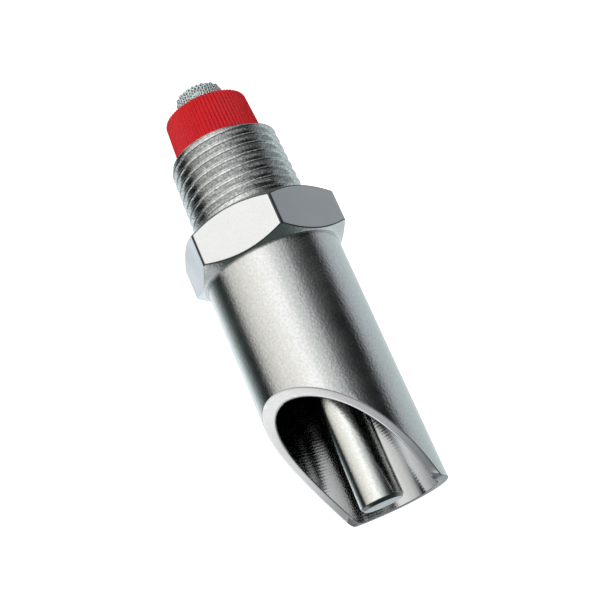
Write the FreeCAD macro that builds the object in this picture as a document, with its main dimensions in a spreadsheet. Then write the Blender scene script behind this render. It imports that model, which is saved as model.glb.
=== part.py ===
"""Pig bite drinker: a stainless steel bite valve with a half-inch pipe thread.

The drinker's axis is Z, with the inlet up and the mouth down. The origin is the centre
of the hexagon's upper face, and the oblique mouth opens towards -Y. Lengths are in mm.
"""

import FreeCAD, Part
import math
import os

import Sketcher

SIZES = [
    ("thread_pitch", 1.814, "rise of the pipe thread in one turn"),
    ("thread_length", 15.3, "hexagon's upper face to the inlet end"),
    ("thread_gauge_diameter", 20.955, "crest diameter at the gauge plane"),
    ("thread_gauge_length", 8.2, "inlet end to the gauge plane"),
    ("thread_taper", 0.0625, "change of diameter for each unit of length"),
    ("thread_depth", 1.3, "crest to the root of the V groove"),
    ("thread_flank_angle", 27.5, "each flank to a plane across the axis, in degrees"),
    ("thread_runout", 1.6, "plain neck beside the hexagon"),
    ("thread_relief", 0.25, "how far the neck lies below the crests"),
    ("inlet_chamfer", 0.7, "lead-in at the inlet end"),
    ("hex_across_flats", 26.6, "width of the hexagon, for a 27 mm spanner"),
    ("hex_height", 9.1, "length of the hexagon along the axis"),
    ("hex_chamfer_angle", 35.0, "slope of the turned chamfers, in degrees"),
    ("hex_face_inset", 0.5, "middle of a flat to the circle that the chamfer leaves on the upper face"),
    ("hex_underside_inset", 0.35, "middle of a flat to the circle that it leaves on the underside"),
    ("hex_corner_break", 0.08, "how far the turned corners lie below sharp ones"),
    ("barrel_diameter", 25.0, "outside of the barrel"),
    ("barrel_length", 46.0, "hexagon's underside to the tip"),
    ("barrel_wall", 1.9, "wall of the barrel"),
    ("mouth_start", 23.35, "hexagon's underside to the top of the scooped mouth"),
    ("mouth_reach", 16.5, "how far the scoop reaches across the tip from the front"),
    ("mouth_radius", 79.0, "hollow of the scoop"),
    ("chamber_diameter", 15.8, "bore that holds the valve"),
    ("seat_depth", 5.0, "hexagon's upper face to the floor of the chamber"),
    ("seat_floor", 3.0, "thickness of the floor under the seal"),
    ("throat_diameter", 10.9, "hole in that floor"),
    ("seal_thickness", 2.0, "rubber ring on the floor"),
    ("seal_bore", 11.0, "hole of the rubber ring"),
    ("seal_clearance", 0.15, "rubber ring to the chamber wall"),
    ("pin_diameter", 7.8, "rod that the animal bites"),
    ("pin_setback", 0.2, "end of the rod to the tip of the barrel"),
    ("pin_across", 0.7, "loose pin's rest place along X"),
    ("pin_along", 0.5, "loose pin's rest place along Y"),
    ("pin_bevel_width", 0.55, "bevel round the rod's end, across the axis"),
    ("pin_bevel_height", 1.1, "the same bevel, along the axis"),
    ("head_diameter", 13.6, "valve disc on the rod"),
    ("head_thickness", 2.0, "thickness of that disc"),
    ("spigot_diameter", 4.0, "stub that centres the spring"),
    ("spigot_length", 2.5, "height of that stub above the disc"),
    ("spring_wire", 0.7, "wire of the valve spring"),
    ("spring_diameter", 7.0, "mean diameter of its coils"),
    ("spring_turns", 3.0, "turns between its ground ends"),
    ("stem_length", 9.3, "inlet end to the bottom of the plug's stem"),
    ("stem_clearance", 0.15, "plug's stem to the chamber wall"),
    ("spring_socket_diameter", 8.8, "recess of the plug over the spring"),
    ("spring_socket_depth", 2.0, "depth of that recess"),
    ("orifice_diameter", 2.5, "flow hole of the plug"),
    ("orifice_length", 3.0, "length of that hole"),
    ("cavity_diameter", 7.2, "bore of the plug above the flow hole"),
    ("collar_gap", 0.1, "plug's collar to the inlet end"),
    ("collar_height", 8.25, "height of the collar"),
    ("collar_base_diameter", 16.6, "collar over its ribs at the bottom"),
    ("collar_top_diameter", 15.7, "collar over its ribs at the top"),
    ("collar_edge", 0.35, "bevel round the top of the collar"),
    ("rib_count", 72, "finger ribs round the collar"),
    ("rib_depth", 0.28, "depth of the notches between the ribs"),
    ("rib_notch_width", 0.5, "width of each notch"),
    ("screen_socket_depth", 5.0, "depth of the collar's recess for the screen"),
    ("screen_clearance", 0.05, "screen to the wall of that recess"),
    ("screen_diameter", 8.9, "outside of the gauze thimble"),
    ("screen_height", 4.3, "thimble above the collar"),
    ("screen_wall", 0.35, "thickness of the gauze"),
    ("screen_shoulder", 0.4, "bevelled shoulder round the top of the thimble"),
    ("gap_column_count", 16, "gauze gaps round the thimble in one row"),
    ("gap_base", 0.95, "collar to the middle of the lowest row"),
    ("gap_rise", 0.95, "height from one row to the next"),
    ("gap_width", 1.25, "width of one gap"),
    ("gap_height", 1.4, "height of one gap"),
    ("top_gap_pitch", 1.5, "spacing of the gaps in the thimble's top"),
    ("top_gap_width", 1.15, "width of one gap in the top"),
]
GAP_ROW_COUNT = 3  # rows of gauze gaps in the thimble's side
TOP_GAP_COUNT = 3  # gaps along each side of the grid in its top
WIRE_SIDE_COUNT = 6  # sides of the spring's wire
OVERRUN = 1.0  # how far a cutting outline reaches past the metal
ROUGH_RADIUS = 10.0  # a sketch's outline before its corners are tied to the sheet

# levels along the axis
HEX_UNDERSIDE = "-sizes.hex_height"
BARREL_END = "-(sizes.hex_height + sizes.barrel_length)"
SEAT_LEVEL = "-sizes.seat_depth"
OUTLET_TOP = "-(sizes.seat_depth + sizes.seat_floor)"
SEAL_TOP = "-(sizes.seat_depth - sizes.seal_thickness)"
HEAD_TOP = "-(sizes.seat_depth - sizes.seal_thickness - sizes.head_thickness)"
STEM_BOTTOM = "(sizes.thread_length - sizes.stem_length)"
SPRING_TOP = f"({STEM_BOTTOM} + sizes.spring_socket_depth)"
COLLAR_BASE = "(sizes.thread_length + sizes.collar_gap)"
COLLAR_TOP = f"({COLLAR_BASE} + sizes.collar_height)"
SCREEN_BASE = f"({COLLAR_TOP} - sizes.screen_socket_depth)"
SCREEN_TOP = f"({COLLAR_TOP} + sizes.screen_height)"

# radii
BARREL_RADIUS = "sizes.barrel_diameter / 2"
OUTLET_RADIUS = "(sizes.barrel_diameter / 2 - sizes.barrel_wall)"
SHARP_CORNER = "sizes.hex_across_flats / sqrt(3)"
CORNER_RADIUS = f"({SHARP_CORNER} - sizes.hex_corner_break)"
CHAMFER_SLOPE = "tan(sizes.hex_chamfer_angle)"
CHAMBER_RADIUS = "sizes.chamber_diameter / 2"
STEM_RADIUS = "(sizes.chamber_diameter / 2 - sizes.stem_clearance)"


def crest_radius(level):
    """Expression for the thread's crest radius at a level above the hexagon."""
    past_gauge = f"(sizes.thread_length - ({level}) - sizes.thread_gauge_length)"
    return f"((sizes.thread_gauge_diameter + {past_gauge} * sizes.thread_taper) / 2)"


def write_sheet(doc):
    """Put the driving sizes in a sheet, one row each."""
    sheet = doc.addObject("Spreadsheet::Sheet", "sizes")
    for row, (alias, value, note) in enumerate(SIZES, start=1):
        sheet.set(f"A{row}", alias)
        sheet.set(f"B{row}", str(value))
        sheet.setAlias(f"B{row}", alias)
        sheet.set(f"C{row}", note)
    doc.recompute()
    return sheet


def add_body(doc, name):
    """Start a sub-part, named after the file that it is written to."""
    body = doc.addObject("PartDesign::Body", name)
    body.Label = name
    return body


def origin_feature(body, role):
    """One of the body's own origin planes or axes."""
    for feature in body.Origin.OriginFeatures:
        if feature.Role == role:
            return feature
    raise ValueError(f"{body.Name} has no {role}")


def add_sketch(body, name, plane, offset="0"):
    """A sketch on one of the body's origin planes, moved along its normal."""
    sketch = body.newObject("Sketcher::SketchObject", name)
    sketch.AttachmentSupport = [(origin_feature(body, plane), "")]
    sketch.MapMode = "FlatFace"
    if offset != "0":
        sketch.setExpression("AttachmentOffset.Base.z", offset)
    return sketch


def hold_point(sketch, edge, end, across, along):
    """Tie a point of the sketch to the sheet, measured from the sketch's origin."""
    for kind, axis, size in (("DistanceX", -2, across), ("DistanceY", -1, along)):
        if size == "0":
            sketch.addConstraint(Sketcher.Constraint("PointOnObject", edge, end, axis))
        else:
            index = sketch.addConstraint(Sketcher.Constraint(kind, -1, 1, edge, end, 1.0))
            sketch.setExpression(f"Constraints[{index}]", size)


def draw_outline(sketch, corners):
    """Draw a closed outline of straight lines through corners tied to the sheet."""
    first = sketch.GeometryCount
    count = len(corners)
    spots = []
    for number in range(count):
        turn = 2 * math.pi * number / count
        spots.append(FreeCAD.Vector(ROUGH_RADIUS * math.cos(turn), ROUGH_RADIUS * math.sin(turn), 0))
    for number in range(count):
        line = Part.LineSegment(spots[number], spots[(number + 1) % count])
        sketch.addGeometry(line, False)
    for number in range(count):
        following = first + (number + 1) % count
        sketch.addConstraint(Sketcher.Constraint("Coincident", first + number, 2, following, 1))
    for number, (across, along) in enumerate(corners):
        hold_point(sketch, first + number, 1, across, along)


def draw_circle(sketch, across, along, diameter):
    """Draw a circle tied to the sheet."""
    circle = Part.Circle(FreeCAD.Vector(1, 1, 0), FreeCAD.Vector(0, 0, 1), ROUGH_RADIUS)
    edge = sketch.addGeometry(circle, False)
    hold_point(sketch, edge, 3, across, along)
    index = sketch.addConstraint(Sketcher.Constraint("Diameter", edge, 2 * ROUGH_RADIUS))
    sketch.setExpression(f"Constraints[{index}]", diameter)


def add_turning(body, kind, name, corners):
    """Turn an outline of the XZ plane round the axis, to add or to cut."""
    sketch = add_sketch(body, f"{name}_outline", "XZ_Plane")
    draw_outline(sketch, corners)
    turning = body.newObject(f"PartDesign::{kind}", name)
    turning.Profile = sketch
    turning.ReferenceAxis = (sketch, ["V_Axis"])
    turning.Angle = 360
    return turning


def add_polar_pattern(body, name, feature, count):
    """Repeat a feature round the axis and make the result the body's tip."""
    pattern = body.newObject("PartDesign::PolarPattern", name)
    pattern.Originals = [feature]
    pattern.Axis = (origin_feature(body, "Z_Axis"), [""])
    pattern.Angle = 360
    pattern.setExpression("Occurrences", count)
    body.Tip = pattern
    return pattern


def turn_body_outside(body):
    """The bar turned to its outer form: barrel, chamfered disc, neck and thread cone."""
    neck = f"({crest_radius('0')} - sizes.thread_relief)"
    crest_start = "sizes.thread_runout + sizes.thread_relief"
    chamfer_start = "sizes.thread_length - sizes.inlet_chamfer"
    end_radius = f"{crest_radius('sizes.thread_length')} - sizes.inlet_chamfer"
    face_radius = "(sizes.hex_across_flats / 2 - sizes.hex_face_inset)"
    underside_radius = "(sizes.hex_across_flats / 2 - sizes.hex_underside_inset)"
    lower_rise = f"({CORNER_RADIUS} - {underside_radius}) * {CHAMFER_SLOPE}"
    upper_drop = f"({CORNER_RADIUS} - {face_radius}) * {CHAMFER_SLOPE}"
    add_turning(body, "Revolution", "bar", [
        ("0", BARREL_END),
        (BARREL_RADIUS, BARREL_END),
        (BARREL_RADIUS, HEX_UNDERSIDE),
        (underside_radius, HEX_UNDERSIDE),
        (CORNER_RADIUS, f"{HEX_UNDERSIDE} + {lower_rise}"),
        (CORNER_RADIUS, f"-{upper_drop}"),
        (face_radius, "0"),
        (neck, "0"),
        (neck, "sizes.thread_runout"),
        (crest_radius(crest_start), crest_start),
        (crest_radius(chamfer_start), chamfer_start),
        (end_radius, "sizes.thread_length"),
        ("0", "sizes.thread_length"),
    ])


def mill_hexagon(body):
    """Six flats cut round the disc, with two corners on the Y axis."""
    sketch = add_sketch(body, "hexagon", "XY_Plane")
    flat = "sizes.hex_across_flats / 2"
    draw_outline(sketch, [
        ("0", f"-({SHARP_CORNER})"),
        (flat, f"-({SHARP_CORNER}) / 2"),
        (flat, f"{SHARP_CORNER} / 2"),
        ("0", SHARP_CORNER),
        (f"-{flat}", f"{SHARP_CORNER} / 2"),
        (f"-{flat}", f"-({SHARP_CORNER}) / 2"),
    ])
    draw_circle(sketch, "0", "0", f"2 * {SHARP_CORNER} + {2 * OVERRUN}")
    flats = body.newObject("PartDesign::Pocket", "flats")
    flats.Profile = sketch
    flats.setExpression("Length", "sizes.hex_height")


def sweep_thread_groove(doc, sheet):
    """The right-hand V groove, swept down a widening cone from above the inlet end."""
    depth = sheet.thread_depth + sheet.thread_relief
    half_opening = depth * math.tan(math.radians(sheet.thread_flank_angle))
    top = sheet.thread_length + sheet.thread_pitch
    drop = top - half_opening - sheet.thread_relief
    past_gauge = -sheet.thread_pitch - sheet.thread_gauge_length
    crest = (sheet.thread_gauge_diameter + past_gauge * sheet.thread_taper) / 2
    root = crest - sheet.thread_depth
    section = Part.makePolygon([
        FreeCAD.Vector(root, 0, 0),
        FreeCAD.Vector(root + depth, 0, -half_opening),
        FreeCAD.Vector(root + depth, 0, half_opening),
        FreeCAD.Vector(root, 0, 0),
    ])
    cone_angle = math.degrees(math.atan(sheet.thread_taper / 2))
    spiral = Part.makeLongHelix(sheet.thread_pitch, drop, root, cone_angle)
    groove = doc.addObject("Part::Feature", "thread_groove")
    groove.Shape = Part.Wire(spiral.Edges).makePipeShell([section], True, True)
    downward = FreeCAD.Rotation(FreeCAD.Vector(1, 0, 0), 180)
    groove.Placement = FreeCAD.Placement(FreeCAD.Vector(0, 0, top), downward)
    return groove


def make_washout(doc):
    """The plain neck and the cone beside it, on which the groove fades out."""
    washout = add_body(doc, "thread_washout")
    fade = "(sizes.thread_depth - sizes.thread_relief)"
    neck = f"({crest_radius('0')} - sizes.thread_relief)"
    add_turning(washout, "Revolution", "neck_and_cone", [
        ("0", f"-{OVERRUN}"),
        (neck, f"-{OVERRUN}"),
        (neck, "sizes.thread_runout"),
        (f"{neck} - {fade}", f"sizes.thread_runout + {fade}"),
        ("0", f"sizes.thread_runout + {fade}"),
    ])
    return washout


def add_cut(doc, name, base, tool):
    """Cut one solid out of another."""
    cut = doc.addObject("Part::Cut", name)
    cut.Label = name
    cut.Base = base
    cut.Tool = tool
    return cut


def bore_body(body):
    """Valve chamber from the inlet, throat through its floor, and outlet bore."""
    above = f"sizes.thread_length + {OVERRUN}"
    below = f"{BARREL_END} - {OVERRUN}"
    throat = "sizes.throat_diameter / 2"
    add_turning(body, "Groove", "bores", [
        ("0", above),
        (CHAMBER_RADIUS, above),
        (CHAMBER_RADIUS, SEAT_LEVEL),
        (throat, SEAT_LEVEL),
        (throat, OUTLET_TOP),
        (OUTLET_RADIUS, OUTLET_TOP),
        (OUTLET_RADIUS, below),
        ("0", below),
    ])


def cut_mouth(body):
    """The oblique scoop that opens the barrel towards -Y and leaves a flat tip.

    It is an arc of a large circle, from the barrel's front to the flat tip.
    """
    drop = "(sizes.barrel_length - sizes.mouth_start)"
    chord = f"sqrt(sizes.mouth_reach ^ 2 + {drop} ^ 2)"
    height = f"sqrt(sizes.mouth_radius ^ 2 - {chord} ^ 2 / 4)"
    across = f"-({BARREL_RADIUS}) + sizes.mouth_reach / 2 - {height} * {drop} / {chord}"
    along = f"{BARREL_END} + {drop} / 2 - {height} * sizes.mouth_reach / {chord}"
    sketch = add_sketch(body, "mouth_outline", "YZ_Plane")
    draw_circle(sketch, across, along, "2 * sizes.mouth_radius")
    mouth = body.newObject("PartDesign::Pocket", "mouth")
    mouth.Profile = sketch
    mouth.SideType = "Symmetric"
    mouth.setExpression("Length", f"sizes.barrel_diameter + {2 * OVERRUN}")


def make_drinker_body(doc, sheet):
    """The stainless steel body, turned and milled from one hexagonal bar."""
    blank = add_body(doc, "body_blank")
    turn_body_outside(blank)
    mill_hexagon(blank)
    bore_body(blank)
    cut_mouth(blank)
    groove = sweep_thread_groove(doc, sheet)
    thread = add_cut(doc, "thread_cut", groove, make_washout(doc))
    return add_cut(doc, "drinker_body", blank, thread)


def make_seat_seal(doc):
    """The rubber ring on the chamber floor, which the valve disc closes on."""
    body = add_body(doc, "seat_seal")
    outer = f"({CHAMBER_RADIUS} - sizes.seal_clearance)"
    inner = "sizes.seal_bore / 2"
    add_turning(body, "Revolution", "ring", [
        (inner, SEAT_LEVEL),
        (outer, SEAT_LEVEL),
        (outer, SEAL_TOP),
        (inner, SEAL_TOP),
    ])
    return body


def make_valve_pin(doc):
    """The bite rod, its valve disc and its spring stub, turned as one piece."""
    body = add_body(doc, "valve_pin")
    rod = "sizes.pin_diameter / 2"
    head = "sizes.head_diameter / 2"
    spigot = "sizes.spigot_diameter / 2"
    rod_end = f"({BARREL_END} + sizes.pin_setback)"
    spigot_top = f"({HEAD_TOP} + sizes.spigot_length)"
    add_turning(body, "Revolution", "rod_and_head", [
        ("0", rod_end),
        (f"{rod} - sizes.pin_bevel_width", rod_end),
        (rod, f"{rod_end} + sizes.pin_bevel_height"),
        (rod, SEAL_TOP),
        (head, SEAL_TOP),
        (head, HEAD_TOP),
        (spigot, HEAD_TOP),
        (spigot, spigot_top),
        ("0", spigot_top),
    ])
    body.setExpression("Placement.Base.x", "sizes.pin_across")
    body.setExpression("Placement.Base.y", "sizes.pin_along")
    return body


def grind_spring_end(body, name, level, upward):
    """Cut the spring's wire flat at one end."""
    sketch = add_sketch(body, f"{name}_circle", "XY_Plane", level)
    draw_circle(sketch, "0", "0", "sizes.spring_diameter + 2 * sizes.spring_wire")
    grinding = body.newObject("PartDesign::Pocket", name)
    grinding.Profile = sketch
    grinding.Reversed = upward
    grinding.setExpression("Length", "sizes.spring_wire")


def make_valve_spring(doc):
    """The closing spring, a coil ground flat at both ends. Its round wire has six sides."""
    body = add_body(doc, "valve_spring")
    sketch = add_sketch(body, "wire_section", "XZ_Plane")
    corners = []
    for number in range(WIRE_SIDE_COUNT):
        turn = 360 / WIRE_SIDE_COUNT * number
        corners.append((
            f"(sizes.spring_diameter + sizes.spring_wire * cos({turn})) / 2",
            f"{HEAD_TOP} + sizes.spring_wire * sin({turn}) / 2",
        ))
    draw_outline(sketch, corners)
    coil = body.newObject("PartDesign::AdditiveHelix", "coil")
    coil.Profile = sketch
    coil.ReferenceAxis = (sketch, ["V_Axis"])
    coil.Mode = "height-turns-angle"
    coil.setExpression("Height", f"{SPRING_TOP} - ({HEAD_TOP})")
    coil.setExpression("Turns", "sizes.spring_turns")
    grind_spring_end(body, "lower_grinding", HEAD_TOP, False)
    grind_spring_end(body, "upper_grinding", SPRING_TOP, True)
    return body


def cut_ribs(body):
    """Notches that follow the collar's taper and leave the finger ribs."""
    levels = (
        ("notch_base", f"{COLLAR_BASE} - {0.1 * OVERRUN}", "sizes.collar_base_diameter / 2"),
        ("notch_top", f"{COLLAR_TOP} + {0.1 * OVERRUN}", "sizes.collar_top_diameter / 2"),
    )
    sections = []
    for name, level, radius in levels:
        sketch = add_sketch(body, name, "XY_Plane", level)
        outside = f"{radius} + {0.1 * OVERRUN}"
        draw_outline(sketch, [
            (f"{radius} - sizes.rib_depth", "0"),
            (outside, "-sizes.rib_notch_width / 2"),
            (outside, "sizes.rib_notch_width / 2"),
        ])
        sections.append(sketch)
    notch = body.newObject("PartDesign::SubtractiveLoft", "rib_notch")
    notch.Profile = sections[0]
    notch.Sections = [(sections[1], [""])]
    notch.Ruled = True
    add_polar_pattern(body, "rib_notches", notch, "sizes.rib_count")


def make_regulator_plug(doc):
    """The red moulded plug: ribbed collar, stem, flow hole and two sockets."""
    body = add_body(doc, "regulator_plug")
    cavity_floor = f"({SPRING_TOP} + sizes.orifice_length)"
    base = "sizes.collar_base_diameter / 2"
    top = "sizes.collar_top_diameter / 2"
    screen_socket = "(sizes.screen_diameter / 2 + sizes.screen_clearance)"
    spring_socket = "sizes.spring_socket_diameter / 2"
    add_turning(body, "Revolution", "stem_and_collar", [
        (spring_socket, STEM_BOTTOM),
        (STEM_RADIUS, STEM_BOTTOM),
        (STEM_RADIUS, COLLAR_BASE),
        (base, COLLAR_BASE),
        (top, f"{COLLAR_TOP} - sizes.collar_edge"),
        (f"{top} - sizes.collar_edge", COLLAR_TOP),
        (screen_socket, COLLAR_TOP),
        (screen_socket, SCREEN_BASE),
        ("sizes.cavity_diameter / 2", SCREEN_BASE),
        ("sizes.cavity_diameter / 2", cavity_floor),
        ("sizes.orifice_diameter / 2", cavity_floor),
        ("sizes.orifice_diameter / 2", SPRING_TOP),
        (spring_socket, SPRING_TOP),
    ])
    cut_ribs(body)
    return body


def add_ring_sketch(body, name, level, radius, sides):
    """A many-sided ring across the axis, with a flat side towards +X."""
    sketch = add_sketch(body, name, "XY_Plane", level)
    corners = []
    for number in range(sides):
        turn = 360 / sides * (number + 0.5)
        corners.append((f"{radius} * cos({turn})", f"{radius} * sin({turn})"))
    draw_outline(sketch, corners)
    return sketch


def add_thimble_layer(body, kind, name, levels, radii, sides):
    """Add or cut a straight or tapering layer between two rings."""
    rings = []
    for end, level, radius in zip(("low", "high"), levels, radii):
        rings.append(add_ring_sketch(body, f"{name}_{end}", level, radius, sides))
    layer = body.newObject(f"PartDesign::{kind}", name)
    layer.Profile = rings[0]
    layer.Sections = [(rings[1], [""])]
    layer.Ruled = True


def form_thimble(body, sides):
    """The thimble, whose gauze lies flat between its upright wires."""
    outer = "sizes.screen_diameter / 2"
    inner = "(sizes.screen_diameter / 2 - sizes.screen_wall)"
    shoulder = "sizes.screen_shoulder"
    bend = f"({SCREEN_TOP} - {shoulder})"
    under = f"({SCREEN_TOP} - sizes.screen_wall)"
    outer_radii = (outer, f"({outer} - {shoulder})")
    inner_radii = (inner, f"({inner} - {shoulder})")
    below = f"{SCREEN_BASE} - {OVERRUN}"
    inner_bend = f"({bend} - sizes.screen_wall)"
    for kind, name, levels, radii in (
        ("AdditiveLoft", "wall", (SCREEN_BASE, bend), (outer, outer)),
        ("AdditiveLoft", "shoulder", (bend, SCREEN_TOP), outer_radii),
        ("SubtractiveLoft", "hollow", (below, inner_bend), (inner, inner)),
        ("SubtractiveLoft", "inner_shoulder", (inner_bend, under), inner_radii),
    ):
        add_thimble_layer(body, kind, name, levels, radii, sides)


def pierce_side(body, sides):
    """Staggered rows of diamond gaps, which leave a lattice of slanting wires."""
    outside = f"sizes.screen_diameter / 2 + {0.1 * OVERRUN}"
    sketch = add_sketch(body, "side_gap_outline", "YZ_Plane", outside)
    for row in range(GAP_ROW_COUNT):
        height = f"({COLLAR_TOP} + sizes.gap_base + {row} * sizes.gap_rise)"
        middle = "0"
        if row % 2:
            middle = f"sizes.screen_diameter / 2 * sin({180 / sides})"
        draw_outline(sketch, [
            (middle, f"{height} - sizes.gap_height / 2"),
            (f"{middle} + sizes.gap_width / 2", height),
            (middle, f"{height} + sizes.gap_height / 2"),
            (f"{middle} - sizes.gap_width / 2", height),
        ])
    gaps = body.newObject("PartDesign::Pocket", "side_gaps")
    gaps.Profile = sketch
    gaps.setExpression("Length", f"sizes.screen_wall + {0.5 * OVERRUN}")
    add_polar_pattern(body, "side_lattice", gaps, "sizes.gap_column_count")


def pierce_top(body):
    """A square grid of gaps in the thimble's flat top."""
    sketch = add_sketch(body, "top_gap_outline", "XY_Plane", SCREEN_TOP)
    span = f"({TOP_GAP_COUNT - 1} * sizes.top_gap_pitch)"
    near = f"-{span} / 2 - sizes.top_gap_width / 2"
    far = f"-{span} / 2 + sizes.top_gap_width / 2"
    draw_outline(sketch, [(near, near), (far, near), (far, far), (near, far)])
    gap = body.newObject("PartDesign::Pocket", "top_gap")
    gap.Profile = sketch
    gap.setExpression("Length", f"sizes.screen_wall + {0.1 * OVERRUN}")
    grid = body.newObject("PartDesign::LinearPattern", "top_lattice")
    grid.Originals = [gap]
    grid.Direction = (origin_feature(body, "X_Axis"), [""])
    grid.Direction2 = (origin_feature(body, "Y_Axis"), [""])
    grid.Occurrences = TOP_GAP_COUNT
    grid.Occurrences2 = TOP_GAP_COUNT
    grid.setExpression("Length", span)
    grid.setExpression("Length2", span)
    body.Tip = grid


def make_filter_screen(doc, sheet):
    """The woven gauze thimble that stands in the collar."""
    body = add_body(doc, "filter_screen")
    sides = int(sheet.gap_column_count)
    form_thimble(body, sides)
    pierce_side(body, sides)
    pierce_top(body)
    return body


def check_document(doc, bodies):
    """Stop if any object failed, or a sub-part is empty, broken or in several pieces."""
    for item in doc.Objects:
        if "Invalid" in item.State or "Error" in item.State:
            raise RuntimeError(f"{item.Label} failed: {item.State}")
    for body in bodies:
        if body.Shape.isNull() or not body.Shape.isValid():
            raise RuntimeError(f"{body.Label} has no sound shape")
        if len(body.Shape.Solids) != 1:
            raise RuntimeError(f"{body.Label} has {len(body.Shape.Solids)} solids")


def main():
    """Build every sub-part, check it and write it to its own file."""
    doc = FreeCAD.newDocument("pig_bite_drinker")
    sheet = write_sheet(doc)
    bodies = [
        make_drinker_body(doc, sheet),
        make_seat_seal(doc),
        make_valve_pin(doc),
        make_valve_spring(doc),
        make_regulator_plug(doc),
        make_filter_screen(doc, sheet),
    ]
    doc.recompute()
    check_document(doc, bodies)
    os.makedirs("parts", exist_ok=True)
    for body in bodies:
        body.Shape.exportStep(f"parts/{body.Label}.step")
        print(f"{body.Label}: {body.Shape.Volume:.1f} mm3, {len(body.Shape.Faces)} faces")


main()
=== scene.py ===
"""Looks of the pig bite drinker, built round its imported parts.

The drinker's axis is Z, with the inlet up and the oblique mouth open towards -Y. Sizes in
the classes are in millimetres, and the meshes are made in metres.
"""

import logging
import math
from dataclasses import dataclass, field
from enum import Enum, IntEnum

import bmesh
import bpy
import numpy as np
from mathutils import Matrix


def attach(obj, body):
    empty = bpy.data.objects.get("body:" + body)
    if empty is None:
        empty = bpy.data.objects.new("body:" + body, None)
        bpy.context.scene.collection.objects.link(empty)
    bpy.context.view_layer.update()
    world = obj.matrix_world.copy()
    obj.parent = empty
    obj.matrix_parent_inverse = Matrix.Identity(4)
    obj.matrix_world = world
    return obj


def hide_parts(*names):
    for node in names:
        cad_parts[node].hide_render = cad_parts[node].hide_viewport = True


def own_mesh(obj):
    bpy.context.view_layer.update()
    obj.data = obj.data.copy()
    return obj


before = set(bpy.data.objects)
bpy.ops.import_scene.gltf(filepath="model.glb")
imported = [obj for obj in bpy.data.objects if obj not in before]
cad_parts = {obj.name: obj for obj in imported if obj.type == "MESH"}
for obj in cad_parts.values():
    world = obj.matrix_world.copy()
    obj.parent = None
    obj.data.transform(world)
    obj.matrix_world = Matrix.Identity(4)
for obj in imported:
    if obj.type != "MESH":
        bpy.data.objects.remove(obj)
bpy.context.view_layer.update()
MM = 0.001
FULL_TURN = 2 * math.pi
SIXTH_TURN = math.radians(60)
TINY = 1e-9
WELD_GAP = 0.001 * MM
NOISE_MIDDLE = (0.3, 0.7)  # the range that most of a noise field lies in
EDGE_SHARPNESS = (0.51, 0.58)  # from a flat face to an edge that is rubbed bright
WAVE_PERIOD = FULL_TURN / 20  # spacing of a wave field's bands at a scale of one
log = logging.getLogger("drinker")

Array = np.ndarray
Color = tuple[float, float, float]
Material = bpy.types.Material
Piece = bpy.types.Object
Socket = bpy.types.NodeSocket
Inputs = dict[str | int, Socket | float | tuple[float, ...]]


class NodeDesk:
    """Lays out the nodes of one tree."""

    def __init__(self, tree: bpy.types.NodeTree) -> None:
        """Take the tree to work on."""
        self.tree = tree

    def feed(self, node: bpy.types.Node, inputs: Inputs) -> None:
        """Lead sockets into a node, and set its plain values on its own sockets.

        Args:
            node: The node.
            inputs: What each of its inputs gets.
        """
        for name, source in inputs.items():
            if isinstance(source, Socket):
                self.tree.links.new(source, node.inputs[name])
            else:
                node.inputs[name].default_value = source

    def add(self, kind: str, output: str, inputs: Inputs | None = None, **options: str) -> Socket:
        """Add a node.

        Args:
            kind: Its kind, without the word that all kinds start with.
            output: Which of its outputs is wanted.
            inputs: What each of its inputs gets.
            options: The node's own options.

        Returns:
            The output.
        """
        node = self.tree.nodes.new(f"ShaderNode{kind}")
        for option, value in options.items():
            setattr(node, option, value)
        self.feed(node, inputs or {})
        return node.outputs[output]

    def spread(self, value: Socket, source: tuple[float, float],
               target: tuple[float, float] = (0.0, 1.0), shape: str = "LINEAR") -> Socket:
        """Spread one range of a value over another."""
        ranges = dict(zip(("From Min", "From Max", "To Min", "To Max"), source + target))
        return self.add("MapRange", "Result", {"Value": value, **ranges}, interpolation_type=shape)

    def mix(self, share: Socket, first: Socket | Color, second: Socket | Color) -> Socket:
        """Mix two colours by the share of the second."""
        ends = [end if isinstance(end, Socket) else (*end, 1) for end in (first, second)]
        return self.add("Mix", "Result", dict(zip(("Factor", "A", "B"), (share, *ends))),
                        data_type="RGBA")


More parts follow.
